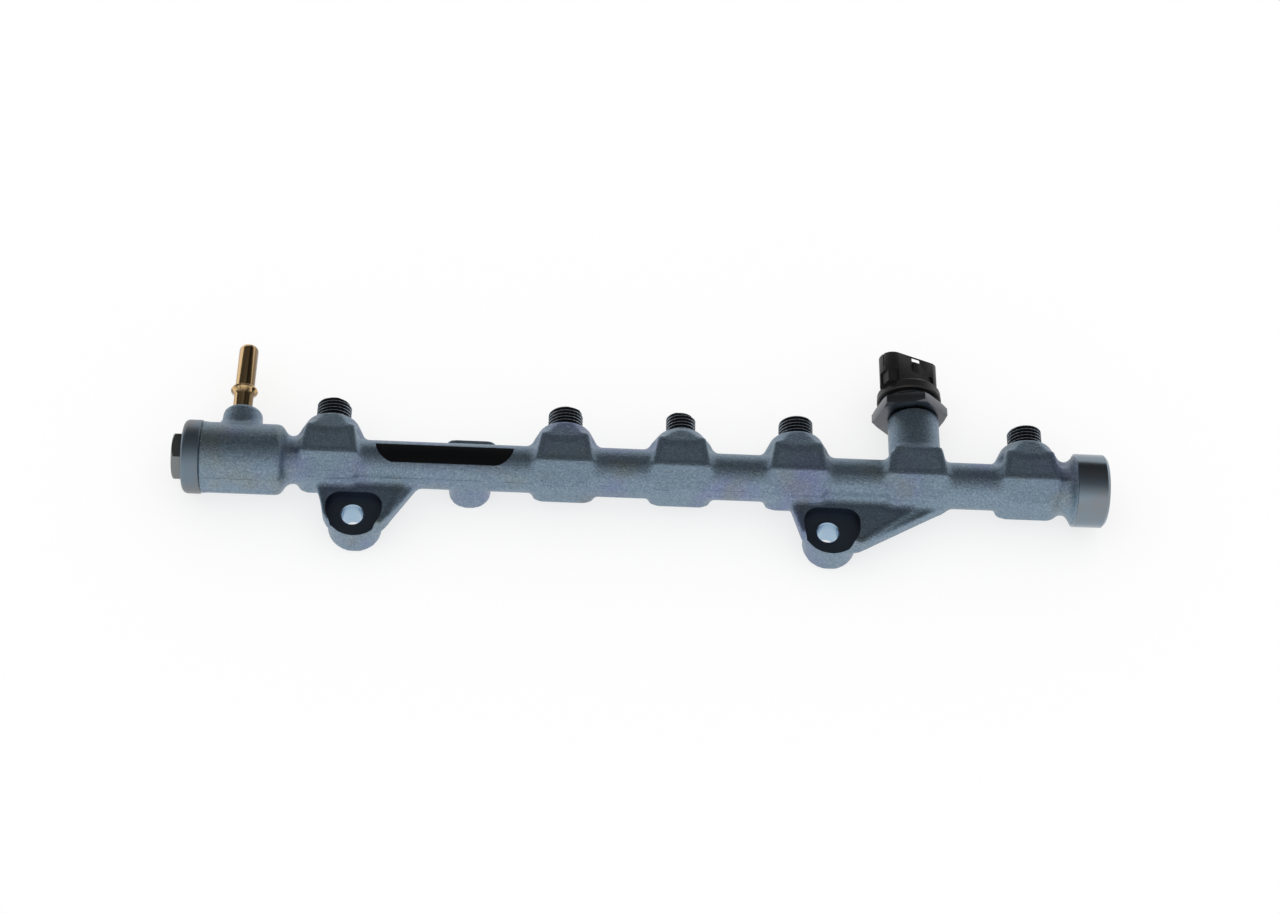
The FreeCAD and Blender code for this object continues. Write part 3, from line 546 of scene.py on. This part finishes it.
fillers.append(rounded_slab("filler", (foot_x - 8.4 * MM, axis_y - 10.0 * MM), (foot_x + 8.4 * MM, axis_y),
                            0.0, 12.0 * MM, [(7.4 * MM, lambda c: c.y < axis_y - 5 * MM)]))
fillers.append(rounded_slab("filler", (foot_x - 10.1 * MM, axis_y + 6.0 * MM), (foot_x + 10.1 * MM, axis_y + 15.1 * MM),
                            0.0, 12.6 * MM, [(2.5 * MM, lambda c: c.y > axis_y + 10 * MM)]))
fillers.append(nose)
flat_from = outlet_xs[0] + 16.0 * MM
fillers.append(drum("filler", at(flat_from), X, 60.0, tube_radius))
forging = joined("forging", [forging] + fillers)

for x in connection_xs:
    sliced(forging, at(x, ledge_out), Y, lambda c, x=x: abs(c.x - x) < 8.3 * MM and c.y > axis_y + 8 * MM)
print("filled:", len(forging.data.polygons), "faces")

# %% Fillets in every inner corner
grid = 0.6
fillet = 2.2
allowance = 0.05


def rebuilt(obj, iterations):
    """Closed skin of everything in obj on the grid, with the steps of the grid smoothed away."""
    modified(obj, "REMESH", mode="VOXEL", voxel_size=grid * MM)
    modified(obj, "SMOOTH", factor=0.5, iterations=iterations)


rebuilt(forging, 1)
above_dome = [(5.0, 12.2), (9.0, 12.0), (18.0, 10.1), (18.0, 17.0), (5.0, 17.0)]
trims = [prism("trim", [at(x - 9.5 * MM, out, up) for out, up in above_dome], X * 19 * MM) for x in connection_xs]
cut(forging, joined("trims", trims))
modified(forging, "DISPLACE", strength=fillet * MM, mid_level=0.0)
rebuilt(forging, 2)
modified(forging, "DISPLACE", strength=(allowance - fillet) * MM, mid_level=0.0)
rebuilt(forging, 2)
forging.data.materials.clear()
forging.data.materials.append(forged)
print("rebuilt:", len(forging.data.polygons), "faces")

# %% [markdown]
# What was machined on the real forging is cut the same way here, after the soft corners are made, so its
# edges stay crisp: the spot faces under the bolt heads, the bolt holes and the long flat along the tube.

# %% Spot faces and label flat
spot_face_radius = 11.3
spot_face_backs = [-14.6, -13.5]
spot_face_round = 6.0
spot_face_up = -2.5
tools = []
for x, shift, back in zip(lug_xs, boss_shifts, spot_face_backs):
    centre_x = x + shift * MM
    low = (centre_x - spot_face_radius * MM, axis_y + (hole_out - spot_face_radius) * MM)
    high = (centre_x + spot_face_radius * MM, axis_y + back * MM)
    slab = rounded_slab("spot_face", low, high, axis_z + spot_face_up * MM, axis_z + 9 * MM, [
        (spot_face_round * MM, lambda c: c.y > axis_y - 20 * MM),
        ((spot_face_radius - 0.02) * MM, lambda c: c.y < axis_y - 30 * MM),
    ])
    slab.data.materials.append(milled_steel)
    tools.append(slab)

flat_low = (outlet_xs[0] + 18.4 * MM, axis_y - 4.6 * MM)
flat_high = (flat_low[0] + 55.3 * MM, axis_y + 13.4 * MM)
flat_level = axis_z + (tube_radius - 1.0) * MM
label_tool = rounded_slab("label_flat", flat_low, flat_high, flat_level, flat_level + 5 * MM,
                          [(8.98 * MM, lambda c: True)])
# The flat's near-black finish is a painted dark reflection of the ceiling.
label_tool.data.materials.append(label_painted_dark_reflection)
tools.append(label_tool)
below = rounded_slab("below", (body_low.x, axis_y - 60 * MM), (body_high.x, axis_y + 30 * MM), -3 * MM, 0.0, [])
below.data.materials.append(milled_steel)
tools.append(below)
cut(forging, joined("milling", tools))
print("milled:", len(forging.data.polygons), "faces")

# %% Bolt holes
hole_radius = 4.3
hole_chamfer = 0.45
hole_top = axis_z / MM + spot_face_up
drills = []
for x in lug_xs:
    wide = hole_radius + hole_chamfer
    outline = [(-1, 0), (-1, wide), (0, wide), (hole_chamfer, hole_radius), (hole_top - hole_chamfer, hole_radius),
               (hole_top, wide), (hole_top + 1, wide), (hole_top + 1, 0)]
    drill = turned("drill", outline, Vector((x, 0, 0)), Z, 72)
    drill.data.materials.append(bore_steel)
    drills.append(drill)
cut(forging, joined("drills", drills))
smooth(forging, 38)
dressed(forging, forged, "forged_body", "rail_body")

# %% [markdown]
# The two ends are turned on a lathe. Each is one outline turned about the rail's axis, with its sharp edges
# broken by a narrow bevel, and overlaps the forging so that no gap opens between them.

# %% Turned collar and flange
collar_radius = 14.85
pocket_radius = 9.05
collar = turned("turned_collar", [
    (0.0, pocket_radius), (0.0, collar_radius - 1.9), (0.2, collar_radius - 1.2), (0.8, collar_radius - 0.45),
    (1.9, collar_radius),
    (collar_length - 0.15, collar_radius), (collar_length + 0.25, housing_radius - 0.1),
    (collar_length + 1.2, housing_radius - 0.6), (collar_length + 1.2, pocket_radius), (0.0, pocket_radius),
], at(collar_start_x), X, 128)
softened(collar, 0.25, 3, 20)
dressed(collar, collar_steel, "forged_body", "rail_body")

flange_length = 13.0
flange_radius = 14.85
flange_chamfer = 1.3
flange = turned("turned_flange", [
    (0.0, tube_radius - 0.4), (0.0, flange_radius - 0.15), (0.15, flange_radius),
    (flange_length - flange_chamfer, flange_radius),
    (flange_length, flange_radius - flange_chamfer), (flange_length, 8.05), (flange_length - 14.5, 8.05),
    (flange_length - 14.5, tube_radius - 0.4), (0.0, tube_radius - 0.4),
], at(flange_start_x), X, 128)
softened(flange, 0.25, 3, 20)
dressed(flange, turned_steel, "forged_body", "rail_body")

# %% [markdown]
# The relief valve keeps the body of the solid, and its hexagon is made again in the position that the
# photograph shows: one corner a little above the line of sight, a wide chamfer on the outer corners.

# %% Relief valve's hexagon
valve_turn = 4.5


def hex_block(name, flats, low, high, along, chamfer, chamfer_depth, turn):
    """Hexagon standing on the origin along an axis, its outer corners chamfered on both sides."""
    corner = flats / 2 / math.cos(math.pi / 6)
    bpy.ops.object.select_all(action="DESELECT")
    bpy.ops.mesh.primitive_cylinder_add(vertices=6, radius=corner * MM, depth=(high - low) * MM)
    obj = bpy.context.object
    obj.name = name
    bpy.ops.object.mode_set(mode="EDIT")
    bpy.ops.mesh.select_all(action="SELECT")
    bpy.ops.transform.rotate(value=turn, orient_axis="Z", center_override=(0, 0, 0))
    bpy.ops.transform.rotate(value=math.pi / 2, orient_axis="X" if along == Y else "Y", center_override=(0, 0, 0))
    bpy.ops.transform.translate(value=along * (low + high) / 2 * MM)
    bpy.ops.object.mode_set(mode="OBJECT")
    envelope = turned("envelope", [
        (low, 0), (low, corner - chamfer), (low + chamfer_depth, corner + 0.02), (high - chamfer_depth, corner + 0.02),
        (high, corner - chamfer), (high, 0),
    ], Vector(), along, 96)
    cut(obj, envelope, "INTERSECT")
    return obj


only(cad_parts["valve_body"])
bpy.ops.object.duplicate()
valve_inside = bpy.context.object
valve_inside.parent = None
for key in list(valve_inside.keys()):
    del valve_inside[key]
sliced(valve_inside, at(body_low.x + 0.2 * MM), -X)
head_low = (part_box("valve_body")[0].x - collar_start_x) / MM + 0.02
valve_head = hex_block("valve_head", 18.0, head_low, 1.2, X, 1.6, 1.1, math.radians(valve_turn))
valve_head.data.materials.clear()
valve_head.data.materials.append(valve_steel)
placed(valve_head, at(collar_start_x))
softened(valve_head, 0.2, 2, 25)
valve = joined("relief_valve_body", [valve_inside, valve_head])
smooth(valve, 30)
dressed(valve, valve_steel, "plated_steel", "valve_body")

# %% [markdown]
# Each connection ends in a threaded stud with a cone seat inside. One tooth of the thread is drawn as an
# outline and screwed up the axis, which is how a thread is cut. The ends are sliced flat, the tip is
# chamfered by keeping only what lies inside a turned envelope, and the seat is cut last.

# %% Threaded studs
pitch = 1.5
thread_depth = 0.92
stud_out = 26.6
stud_chamfer = 0.9
seat_radius = 4.6
throttle_radius = 2.2
seat_depth = (seat_radius - throttle_radius) / math.tan(math.radians(30))


def threaded_stud(name, radius):
    """Stud with its thread, upright on the origin of the rail's axis, to be moved to its connection."""
    root = radius - thread_depth
    tooth = [(0.0, root), (0.34, root), (0.84, radius), (1.03, radius), (pitch, root)]
    stud = drawn_line(name, [Vector((r, a, 0)) * MM for a, r in tooth])
    bpy.ops.object.mode_set(mode="OBJECT")
    turns = math.ceil((stud_out - ledge_out) / pitch) + 3
    modified(stud, "SCREW", axis="Y", screw_offset=pitch * MM, iterations=turns, steps=72, render_steps=72,
             use_merge_vertices=True, merge_threshold=0.002 * MM)
    placed(stud, Vector((0, (ledge_out - 2 * pitch) * MM, 0)))
    sliced(stud, Vector((0, (ledge_out - 0.4) * MM, 0)), -Y)
    sliced(stud, Vector((0, stud_out * MM, 0)), Y)
    bpy.ops.object.mode_set(mode="EDIT")
    bpy.ops.mesh.select_all(action="SELECT")
    bpy.ops.mesh.normals_make_consistent(inside=False)
    bpy.ops.object.mode_set(mode="OBJECT")
    envelope = turned("envelope", [
        (ledge_out - 0.5, 0), (ledge_out - 0.5, root + 0.02), (ledge_out + 1.1, root + 0.02), (ledge_out + 1.9, radius),
        (stud_out - stud_chamfer, radius), (stud_out, radius - stud_chamfer), (stud_out, 0),
    ], Vector(), Y, 96)
    cut(stud, envelope, "INTERSECT")
    seat = turned("seat", [
        (ledge_out - 0.5, 0), (ledge_out - 0.5, throttle_radius + 0.02),
        (stud_out - seat_depth, throttle_radius + 0.02),
        (stud_out - 0.12, seat_radius - 0.07), (stud_out + 0.3, seat_radius + 0.35), (stud_out + 0.3, 0),
    ], Vector(), Y, 72)
    cut(stud, seat)
    # Faces near the crest get the light copy as painted highlight, and all other faces of the stud get the dark copy as
    # painted shade.
    stud.data.materials.clear()
    stud.data.materials.append(thread_painted_shade_steel)
    stud.data.materials.append(crest_painted_highlight_steel)
    for face in stud.data.polygons:
        from_axis = math.hypot(face.center.x, face.center.z)
        face.material_index = 1 if from_axis > (radius - 0.12) * MM else 0
    return smooth(stud, 25)


outlet_stud = threaded_stud("outlet_stud", 7.0)
inlet_stud = threaded_stud("inlet_stud", 6.0)
for number, x in enumerate(outlet_xs, start=1):
    only(outlet_stud)
    bpy.ops.object.duplicate()
    stud = bpy.context.object
    stud.name = f"outlet_stud_{number}"
    placed(stud, at(x), math.radians(37 * number))
    dressed(stud, thread_painted_shade_steel, "forged_body", "rail_body")
bpy.data.objects.remove(outlet_stud)
placed(inlet_stud, at(inlet_x))
dressed(inlet_stud, thread_painted_shade_steel, "forged_body", "rail_body")

# %% [markdown]
# The return spigot is a drawn tube with a rolled bead that holds the coupling. It is one turned outline with
# rounds at the bead and a rolled lip at the mouth.

# %% Return spigot
spigot_radius = 3.95
bead_radius = 5.45
spigot_out = 54.0
spigot = turned("return_spigot_tube", [
    (17.0, 3.0), (17.0, spigot_radius), (29.7, spigot_radius), (30.3, spigot_radius + 0.12),
    (31.9, bead_radius - 0.45), (32.2, bead_radius - 0.08), (32.45, bead_radius), (32.8, bead_radius),
    (33.05, bead_radius - 0.12), (33.2, bead_radius - 0.4), (33.35, spigot_radius + 0.5), (33.7, spigot_radius),
    (spigot_out - 1.6, spigot_radius), (spigot_out - 0.7, spigot_radius - 0.22),
    (spigot_out - 0.15, spigot_radius - 0.6), (spigot_out, spigot_radius - 0.85), (spigot_out - 0.3, 3.0), (17.0, 3.0),
], at(spigot_x), Y, 96)
smooth(spigot, 50)
dressed(spigot, gold_plate, "gold_plate", "return_spigot")

# %% [markdown]
# The sensor is screwed into the tower by its hexagon. Its plug is moulded: a round collar, then a flat body with
# rounded corners, open at the far end, with two recesses, a notch, a slit, and a latch below its window.

# %% Hexagon of the sensor
hex_flats = 27.0
hex_out = tower_out + 0.35
hex_thick = 4.7
hex_turn = -math.radians(43.5)
neck_radius = 11.2
shell_out = 39.3
hex_corner = hex_flats / 2 / math.cos(math.pi / 6)
bpy.ops.object.select_all(action="DESELECT")
bpy.ops.mesh.primitive_cylinder_add(vertices=6, radius=hex_corner * MM, depth=hex_thick * MM,
                                    rotation=(math.pi / 2, 0, 0))
hexagon = bpy.context.object
hexagon.name = "sensor_hexagon"
bpy.ops.object.transform_apply(location=True, rotation=True, scale=True)
placed(hexagon, Vector((0, (hex_out + hex_thick / 2) * MM, 0)))
envelope = turned("envelope", [
    (hex_out, 0), (hex_out, hex_corner - 1.5), (hex_out + 0.75, hex_corner + 0.1),
    (hex_out + hex_thick - 0.75, hex_corner + 0.1), (hex_out + hex_thick, hex_corner - 1.5), (hex_out + hex_thick, 0),
], Vector(), Y, 96)
cut(hexagon, envelope, "INTERSECT")
cut(hexagon, drum("bore", Vector((0, (hex_out - 1) * MM, 0)), Y, hex_thick + 2, 5.0))
softened(hexagon, 0.18, 2, 25)
placed(hexagon, at(sensor_x), hex_turn)
dressed(hexagon, sensor_steel, "dark_steel", "sensor_port")

shank_radius = 5.95
port = turned("sensor_neck", [
    (14.2, 1.5), (14.2, shank_radius), (hex_out + 0.2, shank_radius), (hex_out + hex_thick - 0.3, neck_radius - 1.2),
    (hex_out + hex_thick, neck_radius), (37.4, neck_radius), (37.8, neck_radius - 0.7), (38.2, neck_radius),
    (shell_out - 0.05, neck_radius), (shell_out - 0.05, 9.9), (39.7, 9.9), (39.7, 1.5), (14.2, 1.5),
], at(sensor_x), Y, 96)
softened(port, 0.12, 2, 25)
dressed(port, sensor_steel, "dark_steel", "sensor_port")

# %% Moulded plug of the sensor
shell_turn = math.radians(25)
shell_top = 56.8
collar_top = 43.9
half_width = 12.5
half_depth = 5.4
shift_x = -2.25
shift_z = 3.2
face_z = shift_z + half_depth
window_x = -1.4
plug_collar = turned("plug_collar", [
    (shell_out, 10.0), (shell_out, 12.7), (shell_out + 0.5, 13.2), (collar_top - 1.0, 13.0), (collar_top, 12.2),
    (collar_top, 4.0), (42.4, 4.0), (42.4, 7.0), (40.0, 7.0), (40.0, 10.0), (shell_out, 10.0),
], Vector(), Y, 96)


def plug_block(name, half_x, half_z, y0, y1, roundings=(), shift_x=0.0, shift_z=0.0):
    """Block along the sensor's axis, its long edges rounded on the left and on the right."""
    bpy.ops.object.select_all(action="DESELECT")
    bpy.ops.mesh.primitive_cube_add(size=1, location=(shift_x * MM, (y0 + y1) / 2 * MM, shift_z * MM),
                                    scale=(2 * half_x * MM, (y1 - y0) * MM, 2 * half_z * MM))
    obj = bpy.context.object
    obj.name = name
    bpy.ops.object.transform_apply(location=True, rotation=True, scale=True)
    for side, rounding in zip((-1, 1), roundings):
        rounded(obj, rounding * MM, 10, lambda a, b: abs(a.y - b.y) > 0.5 * (y1 - y0) * MM
                and side * (a.x - shift_x * MM) > 0.9 * half_x * MM)
    return obj


left_x = shift_x - half_width
plug_body = plug_block("plug_body", half_width, half_depth, collar_top - 1.0, shell_top, (5.0, 4.0), shift_x, shift_z)
plug_wall = 1.4
plug_cuts = [
    ("socket", half_width - plug_wall, half_depth - plug_wall, 47.6, shell_top + 1, (3.6, 2.6), shift_x, shift_z),
    ("recess_face", 2.3, 2.0, collar_top - 2.0, 48.5, (), left_x + 2.6, face_z + 1.05),
    ("recess_side", 2.0, 3.2, collar_top - 2.0, 48.2, (), left_x - 1.05, face_z - 3.4),
    ("notch", 1.0, 2.0, collar_top - 2.0, 49.4, (), shift_x + 7.9, face_z + 1.05),
    ("slit", 2.0, 0.3, shell_top - 6.0, shell_top + 1, (), left_x, shift_z + 1.5),
    ("thin_rim", 2.6, 0.6, shell_top - 3.2, shell_top + 1, (), window_x, face_z - 1.1),
    ("latch_window", 2.0, 3.0, shell_top - 2.4, shell_top - 0.5, (), window_x, face_z),
]
for block in plug_cuts:
    cut(plug_body, plug_block(*block))
softened(plug_body, 0.25, 2, 30)
latch = plug_block("latch", 1.6, 0.6, shell_top - 7.6, shell_top - 3.0, (), window_x, face_z + 0.3)
only(latch)
bpy.ops.object.mode_set(mode="EDIT")
bpy.ops.mesh.select_mode(type="VERT")
bpy.ops.mesh.select_all(action="DESELECT")
bpy.ops.object.mode_set(mode="OBJECT")
for vertex in latch.data.vertices:
    vertex.select = vertex.co.y < (shell_top - 7) * MM and vertex.co.z > face_z * MM
bpy.ops.object.mode_set(mode="EDIT")
bpy.ops.transform.translate(value=(0, 0, -0.85 * MM))
bpy.ops.object.mode_set(mode="OBJECT")
softened(latch, 0.12, 2, 30)
plug = joined("sensor_plug", [plug_body, plug_collar, latch])
placed(plug, at(sensor_x), shell_turn)
dressed(plug, black_plastic, "black_plastic", "connector_shell")

# %% [markdown]
# The light is a plain white room with a darker ceiling, which is what the photograph's reflections show:
# faces that look down or forward mirror white, and faces that look up mirror grey. The floor is pale and
# keeps the shadow under the part.

# %% Floor, world and lamps
bpy.ops.object.select_all(action="DESELECT")
bpy.ops.mesh.primitive_plane_add(size=6.0, location=(0, 0, -0.0002))
floor = bpy.context.object
floor.name = "floor"
floor_paint, floor_tree, floor_shader = new_material("pale_floor", "ffffff", 0.0, 0.9)
floor_shader.inputs["Specular IOR Level"].default_value = 0.0
floor_path = add(floor_tree, "ShaderNodeLightPath")
camera_share = calculated(floor_tree, "MULTIPLY", floor_path.outputs["Is Camera Ray"], 0.7)
paleness = calculated(floor_tree, "MAXIMUM", floor_path.outputs["Is Glossy Ray"], camera_share)
glow = add(floor_tree, "ShaderNodeEmission", {"Strength": 1.0})
floor_mix = add(floor_tree, "ShaderNodeMixShader", Fac=paleness)
floor_tree.links.new(floor_shader.outputs[0], floor_mix.inputs[1])
floor_tree.links.new(glow.outputs[0], floor_mix.inputs[2])
floor_tree.links.new(floor_mix.outputs[0], floor_tree.nodes["Material Output"].inputs["Surface"])
floor.data.materials.append(floor_paint)

world = bpy.data.worlds.new("studio")
bpy.context.scene.world = world
world.use_nodes = True
sky = world.node_tree
sky.nodes.clear()
path = add(sky, "ShaderNodeLightPath")
direction = add(sky, "ShaderNodeSeparateXYZ", Vector=add(sky, "ShaderNodeTexCoord").outputs["Generated"])
arc = calculated(sky, "ARCTAN2", direction.outputs["Z"], calculated(sky, "MULTIPLY", direction.outputs["Y"], -1.0))
room = add(sky, "ShaderNodeValToRGB", Fac=calculated(sky, "DIVIDE", arc, math.pi))
stops = [(0.0, 1.0), (0.20, 1.0), (0.32, 0.56), (0.44, 0.22), (0.55, 0.12), (0.68, 0.08), (0.78, 0.05), (0.88, 0.06),
         (0.90, 1.0)]
elements = room.color_ramp.elements
while len(elements) < len(stops):
    elements.new(0.5)
for element, (position, level) in zip(elements, stops):
    element.position = position
    element.color = (level, level, level, 1)
white = add(sky, "ShaderNodeBackground", {"Color": (1, 1, 1, 1), "Strength": 1.0})
graded = add(sky, "ShaderNodeBackground", {"Strength": 1.0}, Color=room.outputs["Color"])
mixed = add(sky, "ShaderNodeMixShader", Fac=path.outputs["Is Glossy Ray"])
sky.links.new(white.outputs[0], mixed.inputs[1])
sky.links.new(graded.outputs[0], mixed.inputs[2])
add(sky, "ShaderNodeOutputWorld", Surface=mixed.outputs[0])
print("studio ready")

# %% End
print("scene built")
